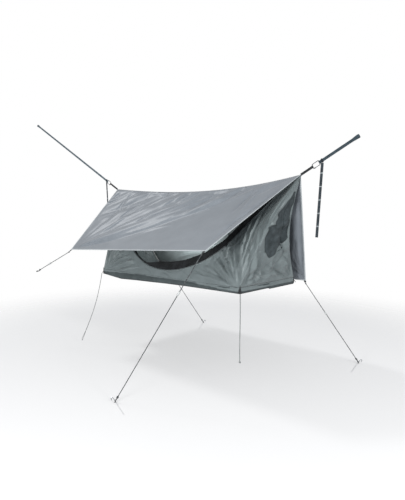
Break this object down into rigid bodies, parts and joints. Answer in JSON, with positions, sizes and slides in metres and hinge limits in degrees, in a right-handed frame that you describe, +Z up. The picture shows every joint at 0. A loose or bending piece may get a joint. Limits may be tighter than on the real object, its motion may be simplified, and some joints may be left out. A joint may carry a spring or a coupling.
{
  "type": "hammock tent",
  "caption": "Grey hammock tent hung between two tree straps, with a floor, walls, netted windows, a zipped door and a two-sided fly held out by guy ropes.",
  "frame": {"origin": "centre of the sewn loop at the tree end of the right strap, which is what holds the tent up", "axes": "+X runs along the ridge from the left tree to the right tree, -Y faces out of the door and +Z is up"},
  "size_m": [5.96, 2.6767, 3.4397],
  "materials": {
    "fly_taffeta": "coated, slight sheen",
    "rear_fly_taffeta": "coated, slight sheen",
    "wall_taffeta": "coated, slight sheen",
    "tub_oxford": "coated, dull",
    "mosquito_net": "open net, dull",
    "black_webbing": "woven webbing, dull",
    "strap_webbing": "woven webbing, dull",
    "guy_cord": "braided cord, dull",
    "light_cord": "braided cord, dull",
    "aluminium": "anodised, satin",
    "steel": "bright wire",
    "zip_plastic": "moulded coil",
    "runner_plastic": "moulded"
  },
  "bodies": {
    "tent": {"carabiner_left": "aluminium", "carabiner_right": "aluminium", "corner_cord_front_left": "light_cord", "corner_cord_front_right": "light_cord", "door_net": "mosquito_net", "door_zip": "zip_plastic", "end_wall_left": "wall_taffeta", "end_wall_right": "wall_taffeta", "floor_tab_front_left": "black_webbing", "floor_tab_front_right": "black_webbing", "floor_tab_rear_left": "black_webbing", "floor_tab_rear_right": "black_webbing", "front_wall": "wall_taffeta", "gate_pin_left": "steel", "gate_pin_right": "steel", "rear_wall": "wall_taffeta", "ridge_cover": "fly_taffeta", "ridge_line": "guy_cord", "ridge_loop_left": "black_webbing", "ridge_loop_right": "black_webbing", "strap_buckle_left": "aluminium", "strap_buckle_right": "aluminium", "tree_strap_left": "strap_webbing", "tree_strap_right": "strap_webbing", "tub_floor": "tub_oxford", "window_net_left": "mosquito_net", "window_net_right": "mosquito_net"},
    "front_fly": {"front_fly": "fly_taffeta", "fly_tab_front_left": "black_webbing", "fly_tab_front_right": "black_webbing", "guy_rope_front_left": "guy_cord"},
    "rear_fly": {"rear_fly": "rear_fly_taffeta", "fly_tab_rear_left": "black_webbing", "fly_tab_rear_right": "black_webbing"},
    "guy_front_right": {"guy_rope_front_right": "guy_cord", "peg_front_right": "steel"},
    "guy_rear_left": {"guy_rope_rear_left": "guy_cord", "peg_rear_left": "steel"},
    "guy_rear_right": {"guy_rope_rear_right": "guy_cord", "peg_rear_right": "steel"},
    "gate_left": {"carabiner_gate_left": "aluminium"},
    "gate_right": {"carabiner_gate_right": "aluminium"},
    "tail_left": {"strap_tail_left": "strap_webbing"},
    "tail_right": {"strap_tail_right": "strap_webbing"},
    "runner_front_left": {"line_runner_front_left": "runner_plastic"},
    "runner_front_right": {"line_runner_front_right": "runner_plastic"},
    "runner_rear_left": {"line_runner_rear_left": "runner_plastic"},
    "runner_rear_right": {"line_runner_rear_right": "runner_plastic"},
    "zip_slider": {"zip_slider": "zip_plastic"},
    "zip_pull": {"zip_pull": "aluminium"}
  },
  "joints": [
    {"name": "front_fly_swing", "type": "hinge", "parent": "tent", "child": "front_fly", "pos_m": [-2.04552, -0.06, -0.43325], "axis": [1, 0, 0], "range_deg": [0, 27]},
    {"name": "rear_fly_lift", "type": "hinge", "parent": "tent", "child": "rear_fly", "pos_m": [-2.04552, 0.035, -0.35276], "axis": [1, 0, 0], "range_deg": [0, 30]},
    {"name": "guy_front_right_turn", "type": "hinge", "parent": "front_fly", "child": "guy_front_right", "pos_m": [-0.93146, -1.01248, -1.02611], "axis": [1, 0, 0], "range_deg": [-54, 0]},
    {"name": "guy_rear_left_turn", "type": "hinge", "parent": "rear_fly", "child": "guy_rear_left", "pos_m": [-3.23252, 0.68769, -1.46929], "axis": [1, 0, 0], "range_deg": [-30, 0]},
    {"name": "guy_rear_right_turn", "type": "hinge", "parent": "rear_fly", "child": "guy_rear_right", "pos_m": [-0.85852, 0.68769, -1.46929], "axis": [1, 0, 0], "range_deg": [-30, 0]},
    {"name": "gate_left_open", "type": "hinge", "parent": "tent", "child": "gate_left", "pos_m": [-3.73575, 0, -0.21275], "axis": [0, 1, 0], "range_deg": [0, 22], "stiffness_Nm_per_rad": 0.05, "springref_deg": -17.19},
    {"name": "gate_right_open", "type": "hinge", "parent": "tent", "child": "gate_right", "pos_m": [-0.40393, 0, -0.23841], "axis": [0, -1, 0], "range_deg": [0, 22], "stiffness_Nm_per_rad": 0.05, "springref_deg": -17.19},
    {"name": "tail_left_swing", "type": "hinge", "parent": "tent", "child": "tail_left", "pos_m": [-3.80677, 0, -0.17342], "axis": [0.9981, 0, 0.0611], "range_deg": [-35, 35]},
    {"name": "tail_right_swing", "type": "hinge", "parent": "tent", "child": "tail_right", "pos_m": [-0.33291, 0, -0.19907], "axis": [0.9981, 0, -0.0611], "range_deg": [-35, 35]},
    {"name": "runner_front_left_slide", "type": "slide", "parent": "front_fly", "child": "runner_front_left", "axis": [-0.8908, -0.1812, -0.4168], "range_m": [-0.1, 0.06]},
    {"name": "runner_front_right_slide", "type": "slide", "parent": "guy_front_right", "child": "runner_front_right", "axis": [-0.3588, -0.3577, -0.8621], "range_m": [-0.1, 0.1]},
    {"name": "runner_rear_left_slide", "type": "slide", "parent": "guy_rear_left", "child": "runner_rear_left", "axis": [0.3986, 0.3704, -0.839], "range_m": [-0.1, 0.1]},
    {"name": "runner_rear_right_slide", "type": "slide", "parent": "guy_rear_right", "child": "runner_rear_right", "axis": [0.5326, 0.2032, -0.8216], "range_m": [-0.1, 0.1]},
    {"name": "door_slider_run", "type": "hinge", "parent": "tent", "child": "zip_slider", "pos_m": [-2.04552, 0.01915, -0.26194], "axis": [0, -0.9077, 0.4196], "range_deg": [-96, 0]},
    {"name": "zip_pull_lift", "type": "hinge", "parent": "zip_slider", "child": "zip_pull", "pos_m": [-1.21684, -0.32548, -0.98424], "axis": [1, 0, 0], "range_deg": [-80, 0]}
  ],
  "couplings": [
    {"joint": "guy_front_right_turn", "follows": "front_fly_swing", "ratio": -2},
    {"joint": "guy_rear_left_turn", "follows": "rear_fly_lift", "ratio": -1},
    {"joint": "guy_rear_right_turn", "follows": "rear_fly_lift", "ratio": -1}
  ]
}
